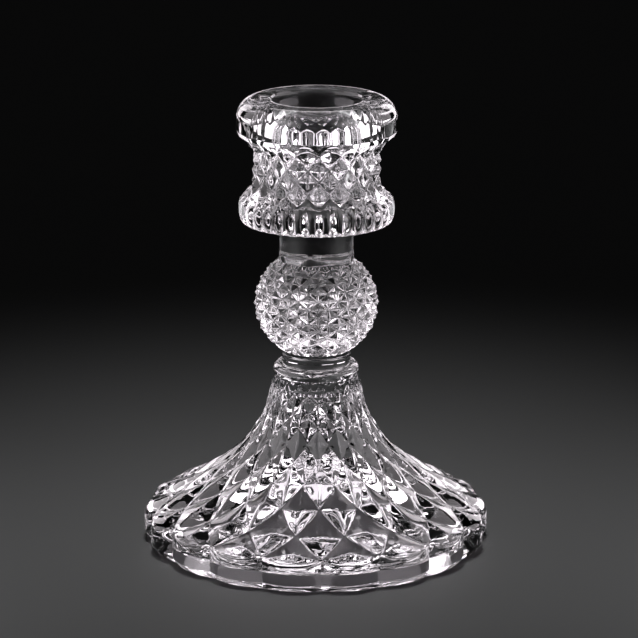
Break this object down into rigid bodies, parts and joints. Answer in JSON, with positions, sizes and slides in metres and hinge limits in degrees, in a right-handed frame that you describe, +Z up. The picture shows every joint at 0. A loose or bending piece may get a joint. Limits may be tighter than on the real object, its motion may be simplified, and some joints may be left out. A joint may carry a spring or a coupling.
{
  "type": "glass candlestick",
  "caption": "Clear pressed-glass candlestick: scalloped flared foot, collar, plain necks, ball knop and waisted socket, cut with raised diamonds, for one taper candle.",
  "frame": {"origin": "centre of the base, on the surface that the candlestick stands on", "axes": "+Z up along the candle; the front, -Y, has a cusp between two scallops and the pattern's meeting grooves"},
  "size_m": [0.0906, 0.0896, 0.118],
  "materials": {
    "clear_glass": "fire-polished clear pressed glass"
  },
  "bodies": {
    "root": {"foot": "clear_glass", "collar": "clear_glass", "lower_neck": "clear_glass", "knop": "clear_glass", "upper_neck": "clear_glass", "socket": "clear_glass"}
  },
  "joints": []
}
